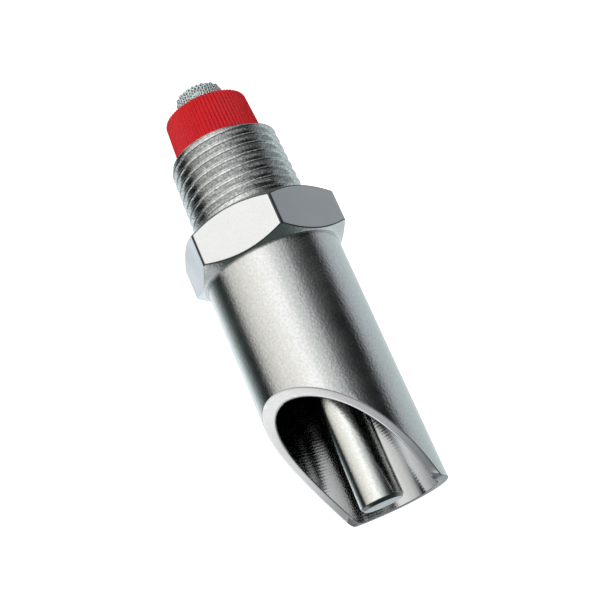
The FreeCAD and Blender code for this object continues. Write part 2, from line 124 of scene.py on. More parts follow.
class ShaderDesk(NodeDesk):
    """Lays out the nodes of one material. A field runs from 0 to 1."""

    def __init__(self, name: str) -> None:
        """Start a material with a bare principled shader.

        Args:
            name: Name of the material.
        """
        self.material = bpy.data.materials.new(name)
        self.material.use_nodes = True
        super().__init__(self.material.node_tree)

    def dress(self, inputs: Inputs) -> Material:
        """Fill the shader's inputs and hand over the material."""
        self.feed(self.tree.nodes["Principled BSDF"], inputs)
        return self.material

    def place(self) -> Socket:
        """Read the coordinates of the piece itself."""
        return self.add("TexCoord", "Object")

    def noise(self, place: Socket, cell: float, detail: float = 2.0) -> Socket:
        """Add a field of noise with cells of a size and octaves of finer detail."""
        return self.add("TexNoise", "Fac", {"Vector": place, "Scale": 1 / cell, "Detail": detail})

    def streaks(self, place: Socket, length: float, width: float) -> Socket:
        """Add a field of streaks that lie round the axis."""
        stretch = {0: place, 1: (1 / length, 1 / length, 1 / width)}
        return self.noise(self.add("VectorMath", "Vector", stretch, operation="MULTIPLY"), 1.0, 3.0)

    def rings(self, place: Socket, pitch: float) -> Socket:
        """Add a field of uneven rings round the axis, as a boring tool leaves them."""
        inputs = {"Vector": place, "Scale": WAVE_PERIOD / pitch, "Distortion": 1.5}
        return self.add("TexWave", "Fac", inputs, bands_direction="Z")

    def around(self, value: Socket, middle: float, reach: float) -> Socket:
        """Spread a noise field to either side of a middle."""
        return self.spread(value, NOISE_MIDDLE, (middle - reach, middle + reach))

    def blend(self, share: Socket, first: Color, second: Color) -> Socket:
        """Blend two colours by a noise field."""
        return self.mix(self.spread(share, NOISE_MIDDLE), first, second)

    def worn_edges(self, color: Socket, rubbed: Color) -> Socket:
        """Lighten the edges that handling rubs."""
        sharpness = self.add("NewGeometry", "Pointiness")
        return self.mix(self.spread(sharpness, EDGE_SHARPNESS), color, rubbed)

    def bump(self, height: Socket, depth: float, under: Socket | None = None) -> Socket:
        """Bend the normal, or one that is bent already, by a field of a depth in metres."""
        inputs = {"Height": height, "Strength": 1.0, "Distance": depth}
        return self.add("Bump", "Normal", inputs if under is None else {**inputs, "Normal": under})


class GrainPath(Enum):
    """Which way the tool or belt has run over a metal face."""

    ROUND = "round the axis"
    CROSSED = "in no one direction"


@dataclass(frozen=True)
class SteelFinish:
    """A finish of bare stainless steel.

    Lengths are in millimetres. The grain is a field of short streaks that lifts and
    lowers the face a little, and its length counts only where it runs round the axis. A
    slower cloud changes how rough the face is, and stained grit and rings lie over it.
    """

    name: str
    color: Color
    roughness: float
    roughness_spread: float = 0.05
    anisotropy: float = 0.0
    grain_path: GrainPath = GrainPath.CROSSED
    grain_length: float = 1.0
    grain_width: float = 0.2
    grain_height: float = 0.003
    cloud_size: float = 2.0
    grit_size: float = 0.25
    grit_height: float = 0.0
    ring_pitch: float = 0.5
    ring_height: float = 0.0
    stain: float = 0.92
    wear: float = 1.1
    lightest: float = 0.95

    def build(self) -> Material:
        """Make the material.

        Returns:
            A node material of that finish.
        """
        desk = ShaderDesk(self.name)
        place = desk.place()
        length = self.grain_length if self.grain_path is GrainPath.ROUND else self.grain_width
        grain = desk.streaks(place, length * MM, self.grain_width * MM)
        cloud = desk.noise(place, self.cloud_size * MM)
        grit = desk.noise(place, self.grit_size * MM)
        bent = desk.bump(grain, self.grain_height * MM)
        if self.grit_height > 0:
            bent = desk.bump(grit, self.grit_height * MM, bent)
        if self.ring_height > 0:
            bent = desk.bump(desk.rings(place, self.ring_pitch * MM), self.ring_height * MM, bent)
        stained = tuple(channel * self.stain for channel in self.color)
        rubbed = tuple(min(channel * self.wear, self.lightest) for channel in self.color)
        inputs = {
            "Base Color": desk.worn_edges(desk.blend(grit, self.color, stained), rubbed),
            "Metallic": 1.0,
            "Roughness": desk.around(cloud, self.roughness, self.roughness_spread),
            "Anisotropic": self.anisotropy,
            "Anisotropic Rotation": 0.25,
            "Normal": bent,
        }
        if self.anisotropy > 0:
            inputs["Tangent"] = desk.add("Tangent", "Tangent", direction_type="RADIAL", axis="Z")
        return desk.dress(inputs)


@dataclass(frozen=True)
class MouldedPlastic:
    """Red plastic straight from the mould. Lengths are in millimetres."""

    name: str = "red_plastic"
    color: Color = (0.76, 0.008, 0.017)
    shade: Color = (0.68, 0.006, 0.013)
    roughness: float = 0.42
    roughness_spread: float = 0.06
    flow_size: float = 2.5
    pebble_size: float = 0.2
    pebble_height: float = 0.004
    shine: float = 0.28
    glow: float = 0.25
    glow_reach: Color = (1.0, 0.15, 0.1)
    glow_depth: float = 0.6

    def build(self) -> Material:
        """Make the material.

        Returns:
            A node material of that plastic.
        """
        desk = ShaderDesk(self.name)
        place = desk.place()
        flow = desk.noise(place, self.flow_size * MM, 3.0)
        pebbles = desk.noise(place, self.pebble_size * MM)
        return desk.dress({
            "Base Color": desk.blend(flow, self.shade, self.color),
            "Roughness": desk.around(flow, self.roughness, self.roughness_spread),
            "Normal": desk.bump(pebbles, self.pebble_height * MM),
            "Specular IOR Level": self.shine,
            "Subsurface Weight": self.glow,
            "Subsurface Radius": self.glow_reach,
            "Subsurface Scale": self.glow_depth * MM,
        })


@dataclass(frozen=True)
class SealRubber:
    """Black nitrile rubber with a faint bloom. Lengths are in millimetres."""

    name: str = "nitrile_rubber"
    color: Color = (0.012, 0.012, 0.013)
    bloom: Color = (0.045, 0.045, 0.047)
    roughness: float = 0.65
    roughness_spread: float = 0.1
    bloom_size: float = 1.43
    bloom_height: float = 0.01

    def build(self) -> Material:
        """Make the material.

        Returns:
            A node material of that rubber.
        """
        desk = ShaderDesk(self.name)
        bloom = desk.noise(desk.place(), self.bloom_size * MM, 4.0)
        return desk.dress({
            "Base Color": desk.blend(bloom, self.color, self.bloom),
            "Roughness": desk.around(bloom, self.roughness, self.roughness_spread),
            "Normal": desk.bump(bloom, self.bloom_height * MM),
        })


@dataclass
class Corner:
    """A corner of a turned outline, with the rows of faces on the run to the next corner.

    Its radius and level are one for each angle or one for all. The faces that round it
    take the finishes of the runs beside it, if it has none of its own.
    """

    radius: float | Array
    level: float | Array
    rounding: float = 0.0
    rows: int = 1
    finish: int = 0
    edge_finish: int | None = None


@dataclass
class TurnedSkin:
    """A closed skin round the axis whose outline may change with the angle.

    The outline is a loop of corners. Each corner is rounded by a few faces, and each run
    between two corners is divided into rows, so that every column has as many rows. A
    rounding takes up no more than a share of the shorter run beside it.
    """

    angles: Array
    corners: list[Corner]
    rounding_faces: int = 3
    rounding_share: float = 0.45

    def rows(self) -> tuple[Array, Array, Array]:
        """Trace the outline at every angle.

        Returns:
            The rows' radii, their levels and the finish of each face, by row and column.
        """
        wide = np.ones_like(self.angles)
        points = np.array([np.stack([c.radius * wide, c.level * wide], axis=-1)
                           for c in self.corners])
        before, after = np.roll(points, 1, axis=0), np.roll(points, -1, axis=0)
        roundings = np.array([c.rounding for c in self.corners])[:, None]
        starts = self.tangents(points, before, after, roundings)
        ends = self.tangents(points, after, before, roundings)
        nexts = np.roll(starts, -1, axis=0)
        traced: list[Array] = []
        finishes: list[int] = []
        for number, corner in enumerate(self.corners):
            here, start, end = points[number], starts[number], ends[number]
            previous = self.corners[number - 1].finish
            for step in range(self.rounding_faces if corner.rounding > 0 else 0):
                share = step / self.rounding_faces
                traced.append((1 - share) ** 2 * start + 2 * share * (1 - share) * here
                              + share ** 2 * end)
                nearer = previous if step < self.rounding_faces / 2 else corner.finish
                finishes.append(nearer if corner.edge_finish is None else corner.edge_finish)
            for step in range(corner.rows):
                traced.append(end + step / corner.rows * (nexts[number] - end))
                finishes.append(corner.finish)
        outline = np.array(traced)
        spread = np.repeat(np.array(finishes)[:, None], len(self.angles), axis=1)
        return outline[:, :, 0], outline[:, :, 1], spread

    def tangents(self, here: Array, towards: Array, other: Array, rounding: Array) -> Array:
        """Find where the corners' roundings meet one of their runs.

        Args:
            here: The corners at every angle.
            towards: The runs' other ends.
            other: The far ends of the other runs.
            rounding: Radius of each rounding.

        Returns:
            The meeting points.
        """
        run, back = towards - here, other - here
        run_length, back_length = np.linalg.norm(run, axis=-1), np.linalg.norm(back, axis=-1)
        cosine = np.sum(run * back, axis=-1) / np.maximum(run_length * back_length, TINY)
        half_angle = np.arccos(np.clip(cosine, -1, 1)) / 2
        reach = rounding / np.maximum(np.tan(half_angle), TINY)
        reach = np.minimum(reach, self.rounding_share * np.minimum(run_length, back_length))
        return here + run * (reach / np.maximum(run_length, TINY))[..., None]


def turned_places(radius: float | Array, level: Array, angles: Array) -> Array:
    """Turn radii and levels, by row and column, into points round the axis."""
    return np.stack([radius * np.cos(angles), radius * np.sin(angles), level], axis=-1)


def mesh_from_grid(name: str, places: Array, finishes: Array, materials: list[Material],
                   solid: bool = False) -> Piece:
    """Close a grid of points into a smooth mesh.

    Args:
        name: Name of the piece.
        places: Points in millimetres, by row and column.
        finishes: Index of the material of each face, by row and column.
        materials: The materials.
        solid: Whether the first and last rows are points on the axis, rather than neighbours.

    Returns:
        The new piece.
    """
    rows, columns = places.shape[:2]
    upper = np.arange(rows * columns).reshape(rows, columns)
    lower = np.roll(upper, -1, axis=0)
    corners = [upper, np.roll(upper, -1, axis=1), np.roll(lower, -1, axis=1), lower]
    quads = np.stack(corners, axis=-1)
    if solid:
        quads, finishes = quads[:-1], finishes[:-1]
    piece = mesh_from_quads(name, places.reshape(-1, 3), quads.reshape(-1, 4),
                            finishes.reshape(-1), materials)
    if solid:
        work = bmesh.new()
        work.from_mesh(piece.data)
        bmesh.ops.remove_doubles(work, verts=work.verts, dist=WELD_GAP)
        work.to_mesh(piece.data)
        work.free()
    keep_flats_flat(piece)
    return piece


def mesh_from_quads(name: str, places: Array, quads: Array, finishes: Array,
                    materials: list[Material]) -> Piece:
    """Make a smooth piece of four-sided faces.

    Args:
        name: Name of the piece.
        places: Points in millimetres.
        quads: Four point numbers for each face.
        finishes: Index of the material of each face.
        materials: The materials.

    Returns:
        The new piece.
    """
    mesh = bpy.data.meshes.new(name)
    mesh.from_pydata((places * MM).tolist(), [], quads.tolist())
    for material in materials:
        mesh.materials.append(material)
    mesh.polygons.foreach_set("material_index", finishes.astype(np.int32))
    mesh.polygons.foreach_set("use_smooth", np.ones(len(quads), bool))
    mesh.update()
    piece = bpy.data.objects.new(name, mesh)
    bpy.context.scene.collection.objects.link(piece)
    return piece


def keep_flats_flat(piece: Piece) -> None:
    """Let the large faces set the normals, so that only the roundings look rounded."""
    weighting = piece.modifiers.new("flats", "WEIGHTED_NORMAL")
    weighting.mode = "FACE_AREA_WITH_ANGLE"
    weighting.weight = 100


def sweep_wire(line: Array, outward: Array, radius: float, sides: int) -> tuple[Array, Array]:
    """Sweep a round wire with closed ends along a line.

    Args:
        line: Points of the wire's middle.
        outward: A direction across the wire at each point.
        radius: Radius of the wire.
        sides: Even number of sides of its section.

    Returns:
        The skin's points, by ring and side, and its four-sided faces.
    """
    tangent = np.gradient(line, axis=0)
    tangent /= np.linalg.norm(tangent, axis=1)[:, None]
    first = outward - np.sum(outward * tangent, axis=1)[:, None] * tangent
    first /= np.linalg.norm(first, axis=1)[:, None]
    second = np.cross(tangent, first)
    turns = (np.arange(sides) * FULL_TURN / sides)[None, :, None]
    rings = (line[:, None, :] + radius * np.cos(turns) * first[:, None, :]
             + radius * np.sin(turns) * second[:, None, :])
    number = np.arange(rings.shape[0] * sides).reshape(-1, sides)
    here, ahead = number[:-1], number[1:]
    walls = [here, np.roll(here, -1, axis=1), np.roll(ahead, -1, axis=1), ahead]
    caps = []
    for side in range(1, sides - 2, 2):
        fan = [0, side, side + 1, side + 2]
        caps.append(number[0][fan[::-1]])
        caps.append(number[-1][fan])
    return rings, np.concatenate([np.stack(walls, axis=-1).reshape(-1, 4), np.array(caps)])


def smooth_least(first: Array, second: Array | float, reach: float) -> Array:
    """Take the lesser of two values, with a rounded change between them.

    Args:
        first: One value.
        second: The other.
        reach: How near each other they are where the rounding starts.

    Returns:
        The rounded lesser value.
    """
    nearness = np.maximum(reach - np.abs(first - second), 0) / reach
    return np.minimum(first, second) - nearness ** 2 * reach / 4


def smooth_most(first: Array, second: Array | float, reach: float) -> Array:
    """Take the greater of two values, with a rounded change between them."""
    return -smooth_least(-first, -second, reach)


@dataclass
class PipeThread:
    """The tapered half-inch pipe thread above the hexagon, and its grooved plain neck."""

    pitch: float = 1.814
    length: float = 15.3
    gauge_diameter: float = 20.955
    gauge_length: float = 8.2
    taper: float = 0.0625
    depth: float = 1.3
    flank_angle: float = 27.5
    runout: float = 1.6
    relief: float = 0.25
    chamfer: float = 0.7
    crest_rounding: float = 0.2
    root_rounding: float = 0.16
    root_width: float = 0.12
    washout_rounding: float = 0.1
    ring_pitch: float = 0.5
    ring_depth: float = 0.035
    face_gap: float = 0.05
    skin_depth: float = 3.0

    def crest(self, level: float | Array) -> float | Array:
        """Crest radius at a level."""
        return (self.gauge_diameter + (self.length - level - self.gauge_length) * self.taper) / 2

    @property
    def neck(self) -> float:
        """Radius of the plain neck beside the hexagon."""
        return self.crest(0.0) - self.relief

    def carve(self, radius: Array, level: Array, angles: Array) -> Array:
        """Cut the V groove into the outside of the cone, down to where it washes out.

        Args:
            radius: Radius of the uncut skin, by row and column.
            level: Height of each point.
            angles: Angle of each column.

        Returns:
            The radius of the threaded skin.
        """
        slope = 1 / math.tan(math.radians(self.flank_angle))
        turn = (level - self.length - self.pitch * angles / FULL_TURN) / self.pitch
        offset = np.abs(turn - np.round(turn)) * self.pitch
        root = self.crest(level) - self.depth
        groove = smooth_most(root + offset * slope, root + self.root_width, self.root_rounding)
        washout = np.minimum(self.neck, self.neck - (level - self.runout))
        groove = smooth_most(groove, washout, self.washout_rounding)
        threaded = smooth_least(radius, groove, self.crest_rounding)
        rings = self.ring_depth * (0.5 - 0.5 * np.cos(FULL_TURN * level / self.ring_pitch))
        threaded = threaded - np.where(level < self.runout, rings, 0)
        outside = (level > self.face_gap) & (radius > self.neck - self.skin_depth)
        return np.where(outside, np.minimum(radius, threaded), radius)


class BodyFace(IntEnum):
    """The kinds of face on the body, in the order of its materials."""

    TURNED = 0
    MILLED = 1
    THREADED = 2
    GROUND = 3
    BORED = 4
    BURNT = 5
    # painted dark lines of shade and reflection along the edges
    TIP = 6


BODY_STEEL = {
    BodyFace.TURNED: SteelFinish(
        "turned_steel", (0.70, 0.70, 0.69), 0.23, 0.04, 0.7, GrainPath.ROUND, grain_length=1.6,
        grain_width=0.12, grain_height=0.01, cloud_size=5.0, grit_size=0.42, grit_height=0.032,
        stain=0.84),
    BodyFace.MILLED: SteelFinish(
        "milled_steel", (0.725, 0.73, 0.735), 0.33, 0.03, grain_width=0.3, grain_height=0.002,
        cloud_size=6.0),
    BodyFace.THREADED: SteelFinish(
        "threaded_steel", (0.73, 0.745, 0.735), 0.13, 0.05, 0.4, GrainPath.ROUND,
        grain_length=0.8, grain_width=0.1, grain_height=0.02, grit_size=0.4, grit_height=0.035,
        stain=0.5),
    BodyFace.GROUND: SteelFinish(
        "ground_steel", (0.69, 0.69, 0.69), 0.13, 0.02, grain_height=0.0015, cloud_size=3.0),
    BodyFace.BORED: SteelFinish(
        "bored_steel", (0.64, 0.65, 0.66), 0.12, 0.03, 0.7, GrainPath.ROUND, grain_length=4.0,
        grain_width=0.4, grain_height=0.008, cloud_size=3.0, grit_height=0.008, ring_pitch=0.55,
        ring_height=0.004),
    # near-black steel painted along the edges as shade and dark reflection
    BodyFace.BURNT: SteelFinish("painted_dark_edge", (0.10, 0.115, 0.115), 0.35),
    # a darker, rougher steel for the faces nearest the tip and the rim near it
    BodyFace.TIP: SteelFinish("tip_steel", (0.32, 0.33, 0.34), 0.4),
}


@dataclass
class DrinkerBody:
    """The stainless steel body: pipe thread, hexagon, barrel and oblique mouth.

    The hexagon's edges and the mouth's inner rim edge are painted near-black, as painted shade and
    dark reflection, but not round one flat, whose bearing is in degrees. The faces nearest the tip,
    and the rim near it, take a darker, rougher steel.
    """

    thread: PipeThread = field(default_factory=PipeThread)
    across_flats: float = 26.6
    hex_height: float = 9.1
    hex_chamfer_angle: float = 35.0
    hex_face_radius: float = 12.8
    hex_underside_radius: float = 12.95
    hex_corner_rounding: float = 0.8
    barrel_radius: float = 12.5
    barrel_length: float = 46.0
    bore_radius: float = 10.6
    mouth_start: float = 23.35
    mouth_reach: float = 16.5
    mouth_hollow: float = 79.0
    tip_rounding: float = 1.4
    chamber_radius: float = 7.9
    seat_depth: float = 5.0
    seat_floor: float = 3.0
    throat_radius: float = 5.45
    edge: float = 0.13
    flat_edge: float = 0.25
    barrel_fillet: float = 0.05
    bore_fillet: float = 0.3
    chamber_fillet: float = 0.2
    # width of the painted dark lines down the hexagon's corners, and the flat whose edges get none
    painted_edge_width: float = 0.224
    unpainted_flat: float = 240.0
    unpainted_reach: float = 29.0
    dull_edge: float = 0.4
    dull_rim: float = 1.1
    column_step: float = 2.0
    corner_columns: tuple[float, ...] = (-1, -0.66, -0.33, 0.33, 0.66, 1)

    @property
    def end(self) -> float:
        """Level of the tip."""
        return -self.hex_height - self.barrel_length

    @property
    def corner_radius(self) -> float:
        """Distance of the hexagon's rounded corners from the axis."""
        sharp = self.across_flats / 2 / math.cos(SIXTH_TURN / 2)
        return sharp - self.hex_corner_rounding * (1 / math.sin(SIXTH_TURN) - 1)

    @property
    def corner_reach(self) -> float:
        """Angle from a corner of the hexagon to where its rounding ends."""
        return self.hex_corner_rounding / 2 / self.corner_radius

    def column_angles(self) -> Array:
        """Space the columns, closer together round the hexagon's six corners.

        Returns:
            The angle of each column.
        """
        angles = set(np.arange(0, 360, self.column_step).tolist())
        for corner in range(30, 390, 60):
            for share in self.corner_columns:
                angles.add((corner + math.degrees(self.corner_reach) * share) % 360)
        return np.radians(np.array(sorted(angles)))

    def flat_radius(self, angles: Array) -> Array:
        """Distance from the axis to the hexagon's side at each angle.

        Args:
            angles: Angles round the axis.

        Returns:
            The distances, rounded at the corners.
        """
        off_flat = (angles + SIXTH_TURN / 2) % SIXTH_TURN - SIXTH_TURN / 2
        flat = self.across_flats / 2 / np.cos(off_flat)
        off_corner = angles % SIXTH_TURN - SIXTH_TURN / 2
        centre = self.corner_radius - self.hex_corner_rounding
        side = centre * np.sin(off_corner)
        inside = np.maximum(self.hex_corner_rounding ** 2 - side ** 2, 0)
        arc = centre * np.cos(off_corner) + np.sqrt(inside)
        rounded = np.abs(off_corner) <= self.corner_reach + TINY
        return np.where(rounded, np.minimum(arc, flat), flat)

    def mouth_level(self, radius: float, angles: Array) -> Array:
        """Height of the mouth's cut at a radius.

        Args:
            radius: Distance from the axis.
            angles: Angles round the axis.

        Returns:
            The heights, which turn softly into the flat tip.
        """
        drop = self.barrel_length - self.mouth_start
        chord = math.hypot(self.mouth_reach, drop)
        height = math.sqrt(self.mouth_hollow ** 2 - chord ** 2 / 4)
        middle_across = -self.barrel_radius + self.mouth_reach / 2 - height * drop / chord
        middle_level = self.end + drop / 2 - height * self.mouth_reach / chord
        reach = np.minimum(radius * np.sin(angles) - middle_across, self.mouth_hollow)
        scoop = middle_level + np.sqrt(self.mouth_hollow ** 2 - reach ** 2)
        return smooth_most(scoop, self.end, self.tip_rounding)

    def outline(self) -> TurnedSkin:
        """Lay out the outline from the inlet end round the outside and back up the bores.

        Returns:
            The skin of the body, without its thread.
        """
        angles = self.column_angles()
        thread, edge, face = self.thread, self.edge, BodyFace
        top, shoulder = thread.length, thread.length - thread.chamfer
        start = thread.runout + thread.relief
        slope = math.tan(math.radians(self.hex_chamfer_angle))
        flat = self.flat_radius(angles)
        upper = (flat - self.hex_face_radius) * slope
        lower = (flat - self.hex_underside_radius) * slope
        outer_rim = self.mouth_level(self.barrel_radius, angles)
        inner_rim = self.mouth_level(self.bore_radius, angles)
        bore_top = -self.seat_depth - self.seat_floor
        return TurnedSkin(angles, [
            Corner(self.chamber_radius, top, edge, 2, face.GROUND),
            Corner(thread.crest(top) - thread.chamfer, top, edge, 8, face.THREADED),
            Corner(thread.crest(shoulder), shoulder, 0, 170, face.THREADED),
            Corner(thread.crest(start), start, 0, 3, face.THREADED),
            Corner(thread.neck, thread.runout, 0, 10, face.THREADED),
            Corner(thread.neck, 0, edge, 2, face.GROUND),
            Corner(self.hex_face_radius, 0, edge, 4, face.TURNED),
            # the flats' edges take the painted dark lines of shade and reflection
            Corner(flat, -upper, self.flat_edge, 8, face.MILLED, face.BURNT),
            Corner(flat, -self.hex_height + lower, self.flat_edge, 4, face.TURNED, face.BURNT),
            Corner(self.hex_underside_radius, -self.hex_height, edge, 2, face.TURNED),
            Corner(self.barrel_radius, -self.hex_height, self.barrel_fillet, 26, face.TURNED),
            Corner(self.barrel_radius, outer_rim, edge, 5, face.GROUND),
            # the rim's edge into the bore takes a painted dark line of shade
            Corner(self.bore_radius, inner_rim, edge, 22, face.BORED, face.BURNT),
            Corner(self.bore_radius, bore_top, self.bore_fillet, 3, face.BORED),
            Corner(self.throat_radius, bore_top, edge, 3, face.BORED),
            Corner(self.throat_radius, -self.seat_depth, edge, 2, face.BORED),
            Corner(self.chamber_radius, -self.seat_depth, self.chamber_fillet, 8, face.BORED),
        ])

    def mark(self, angles: Array, level: Array, faces: Array) -> None:
        """Mark the painted dark lines on the hexagon's corners, the flat left without them and the
        darker tip.

        Args:
            angles: Angle of each column.
            level: Height of each point, by row and column.
            faces: Kind of each face, which this changes.
        """
        middles = (angles + np.roll(angles, -1)) / 2
        off_corner = np.abs(middles % SIXTH_TURN - SIXTH_TURN / 2)
        # paint dark lines of shade and reflection down the hexagon's corners, and none round one
        # flat
        on_corner = off_corner < self.painted_edge_width / self.corner_radius
        faces[(faces == BodyFace.MILLED) & on_corner] = BodyFace.BURNT
        unpainted = np.abs(np.degrees(angles) - self.unpainted_flat) < self.unpainted_reach
        faces[(faces == BodyFace.BURNT) & unpainted] = BodyFace.TURNED
        low = np.maximum(level, np.roll(level, -1, axis=0)) < self.end + self.dull_edge
        rim = (faces == BodyFace.GROUND) & (level < self.end + self.dull_rim)
        faces[low | rim] = BodyFace.TIP

    def build(self) -> Piece:
        """Make the body's mesh and dress it.

        Returns:
            The piece.
        """
        skin = self.outline()
        radius, level, faces = skin.rows()
        self.mark(skin.angles, level, faces)
        places = turned_places(self.thread.carve(radius, level, skin.angles), level, skin.angles)
        materials = [BODY_STEEL[face].build() for face in BodyFace]
        piece = mesh_from_grid("steel_body", places, faces, materials)
        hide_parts("drinker_body")
        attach(piece, "body")
        return piece


class PinFace(IntEnum):
    """The kinds of face on the bite pin, in the order of its materials."""

    DRAWN = 0
    SAWN = 1
    BEVEL = 2


PIN_STEEL = {
    PinFace.DRAWN: SteelFinish(
        "drawn_rod", (0.74, 0.74, 0.72), 0.16, 0.04, 0.6, GrainPath.ROUND, grain_length=1.2,
        grain_width=0.15, grain_height=0.012, cloud_size=3.0, grit_size=0.4, grit_height=0.02,
        stain=0.85),
    PinFace.SAWN: SteelFinish(
        "sawn_rod_end", (0.5, 0.5, 0.5), 0.35, grain_height=0.006, cloud_size=3.0),
    # the rod end's bevel is near-black, painted shade and dark reflection along the rod's end edge
    PinFace.BEVEL: SteelFinish("painted_dark_bevel", (0.22, 0.23, 0.23), 0.3),
}


@dataclass
class BitePin:
    """The rod that the animal bites, with its valve disc and spring stub."""

    across: float = 0.7
    along: float = 0.5
    rod_radius: float = 3.9
    rod_end: float = -54.9
    bevel_width: float = 0.45
    bevel_height: float = 0.65
    bevel_edge: float = 0.1
    bevel_rounding: float = 0.8
    head_radius: float = 6.8
    seal_top: float = -3.0
    head_top: float = -1.0
    head_edge: float = 0.2
    stub_radius: float = 2.0
    stub_top: float = 1.5
    stub_edge: float = 0.3
    root: float = 0.15
    columns: int = 72
    rounding_faces: int = 6

    def build(self) -> Piece:
        """Make the pin's mesh and dress it.

        Returns:
            The piece.
        """
        angles = np.arange(self.columns) * FULL_TURN / self.columns
        bevel_top = self.rod_end + self.bevel_height
        end_radius = self.rod_radius - self.bevel_width
        skin = TurnedSkin(angles, [
            Corner(0, self.rod_end, 0, 8, PinFace.SAWN),
            Corner(end_radius, self.rod_end, self.bevel_edge, 3, PinFace.BEVEL),
            Corner(self.rod_radius, bevel_top, self.bevel_rounding, 60),
            Corner(self.rod_radius, self.seal_top, self.root, 4),
            Corner(self.head_radius, self.seal_top, self.head_edge, 3),
            Corner(self.head_radius, self.head_top, self.head_edge, 4),
            Corner(self.stub_radius, self.head_top, self.root, 4),
            Corner(self.stub_radius, self.stub_top, self.stub_edge, 3),
            Corner(0, self.stub_top),
        ], self.rounding_faces)
        radius, level, faces = skin.rows()
        places = turned_places(radius, level, angles) + (self.across, self.along, 0)
        materials = [PIN_STEEL[face].build() for face in PinFace]
        piece = mesh_from_grid("bite_pin", places, faces, materials, solid=True)
        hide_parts("valve_pin")
        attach(piece, "pin")
        return piece


@dataclass
class RegulatorPlug:
    """The red moulded plug with its ribbed collar."""

    plastic: MouldedPlastic = field(default_factory=MouldedPlastic)
    stem_bottom: float = 6.0
    stem_radius: float = 7.75
    stem_edge: float = 0.25
    collar_base: float = 15.4
    collar_top: float = 23.65
    base_radius: float = 8.3
    base_edge: float = 0.12
    top_radius: float = 7.85
    top_edge: float = 0.35
    ribs: int = 72
    rib_depth: float = 0.24
    rib_fullness: float = 0.8
    screen_socket_radius: float = 4.5
    screen_socket_floor: float = 18.65
    cavity_radius: float = 3.6
    cavity_floor: float = 11.0
    cavity_edge: float = 0.15
    cavity_fillet: float = 0.3
    orifice_radius: float = 1.25
    spring_socket_radius: float = 4.4
    spring_socket_top: float = 8.0
    edge: float = 0.1
    columns_per_rib: int = 8

    def build(self) -> Piece:
        """Make the plug's mesh and dress it.

        Returns:
            The piece.
        """
        count = self.ribs * self.columns_per_rib
        angles = np.arange(count) * FULL_TURN / count
        edge = self.edge
        wave = 0.5 - 0.5 * np.cos(angles * self.ribs)
        groove = self.rib_depth * (1 - wave ** self.rib_fullness)
        skin = TurnedSkin(angles, [
            Corner(self.spring_socket_radius, self.stem_bottom, edge, 2),
            Corner(self.stem_radius, self.stem_bottom, self.stem_edge, 6),
            Corner(self.stem_radius, self.collar_base),
            Corner(self.base_radius - groove, self.collar_base, self.base_edge, 14),
            Corner(self.top_radius - groove, self.collar_top, self.top_edge, 5),
            Corner(self.screen_socket_radius, self.collar_top, edge, 4),
            Corner(self.screen_socket_radius, self.screen_socket_floor, edge),
            Corner(self.cavity_radius, self.screen_socket_floor, self.cavity_edge, 5),
            Corner(self.cavity_radius, self.cavity_floor, self.cavity_fillet, 3),
            Corner(self.orifice_radius, self.cavity_floor, edge, 3),
            Corner(self.orifice_radius, self.spring_socket_top, edge, 3),
            Corner(self.spring_socket_radius, self.spring_socket_top, edge, 3),
        ])
        radius, level, faces = skin.rows()
        places = turned_places(radius, level, angles)
        piece = mesh_from_grid("red_regulator", places, faces, [self.plastic.build()])
        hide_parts("regulator_plug")
        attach(piece, "plug")
        return piece


